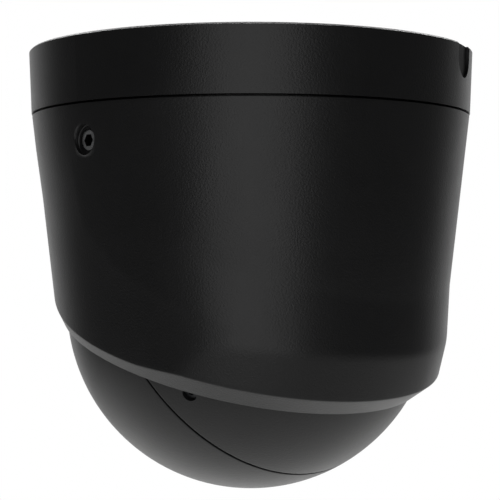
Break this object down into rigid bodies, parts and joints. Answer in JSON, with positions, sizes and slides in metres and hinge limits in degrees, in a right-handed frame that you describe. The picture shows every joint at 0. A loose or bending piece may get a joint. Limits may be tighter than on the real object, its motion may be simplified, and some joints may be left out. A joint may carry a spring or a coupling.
{
  "type": "dome cctv camera",
  "caption": "Black ceiling turret camera: round base, turning shroud with a slanted lip, and an eyeball that pans, tilts and rolls.",
  "frame": {"origin": "centre of the mounting face, on the axis of the base", "axes": "+Z out of the mounting face into the ceiling, -Y the way the camera looks, +X to its left as seen from behind it"},
  "size_m": [0.11, 0.11, 0.1078],
  "materials": {
    "black_coat": "black fine-grain powder coat",
    "black_rubber": "matt moulded rubber",
    "foam": "closed-cell foam",
    "grey_plastic": "fine moulded texture",
    "black_plastic": "fine moulded texture",
    "cup_plastic": "moulded, slightly worn",
    "white_plastic": "smooth glide plastic",
    "green_plastic": "moulded",
    "screw_steel": "turned steel, dark oxide",
    "spring_steel": "rolled",
    "brass": "turned",
    "window_glass": "hard-coated clear",
    "lens_glass": "coated optical glass",
    "filter_glass": "infrared cut coating",
    "lens_metal": "black anodised",
    "heat_sink_metal": "extruded",
    "board": "solder mask over glass fibre",
    "chip": "moulded epoxy",
    "sensor": "silicon under a cover",
    "lamp": "clear epoxy over a reflector",
    "mic_metal": "drawn can"
  },
  "bodies": {
    "base": {"base_ring": "black_coat", "ceiling_gasket": "foam", "cable_grommet": "black_rubber", "notch_plug": "black_rubber", "glide_washer": "white_plastic", "cup_retainer": "spring_steel", "network_socket": "grey_plastic", "power_terminal": "green_plastic"},
    "shroud": {"shroud": "black_coat", "seam_seal": "black_rubber", "screw_insert": "brass", "friction_ring": "black_rubber"},
    "lock_screw": {"lock_screw": "screw_steel"},
    "pan_cup": {"friction_cup": "cup_plastic"},
    "tilt_gland": {"swivel_gland": "black_plastic", "gland_nut": "black_plastic", "cord_bush": "black_rubber"},
    "eyeball": {"rear_shell": "black_coat", "front_shell": "black_coat", "shell_seal": "black_rubber", "shell_screws": "screw_steel", "window": "window_glass", "window_seal": "black_rubber", "front_bezel": "black_plastic", "light_baffle": "foam", "lens_ring": "lens_metal", "front_lens": "lens_glass", "lens_spacer": "lens_metal", "inner_lens": "lens_glass", "lens_barrel": "lens_metal", "lens_holder": "black_plastic", "image_sensor": "sensor", "sensor_board": "board", "lamp_board": "board", "ir_lamps": "lamp", "light_sensor": "lamp", "lamp_posts": "brass", "microphone": "mic_metal", "main_board": "board", "board_posts": "brass", "board_chips": "chip", "heat_sink": "heat_sink_metal"},
    "ir_filter": {"ir_filter": "filter_glass"}
  },
  "joints": [
    {"name": "shroud_turn", "type": "hinge", "parent": "base", "child": "shroud", "pos_m": [0, 0, 0], "axis": [0, 0, 1], "range_deg": [-180, 180]},
    {"name": "lock_screw_travel", "type": "slide", "parent": "shroud", "child": "lock_screw", "axis": [0.9998, 0.0209, 0], "range_m": [0, 0.0018]},
    {"name": "camera_pan", "type": "hinge", "parent": "base", "child": "pan_cup", "pos_m": [0, 0, 0], "axis": [0, 0, 1], "range_deg": [-180, 180]},
    {"name": "camera_tilt", "type": "hinge", "parent": "pan_cup", "child": "tilt_gland", "pos_m": [0, 0, -0.06207], "axis": [1, 0, 0], "range_deg": [-8, 63.3]},
    {"name": "camera_roll", "type": "hinge", "parent": "tilt_gland", "child": "eyeball", "pos_m": [0, 0, -0.06207], "axis": [0, -0.8934, -0.4493], "range_deg": [-180, 180]},
    {"name": "filter_slide", "type": "slide", "parent": "eyeball", "child": "ir_filter", "axis": [0, 0.4493, -0.8934], "range_m": [0, 0.007]}
  ]
}
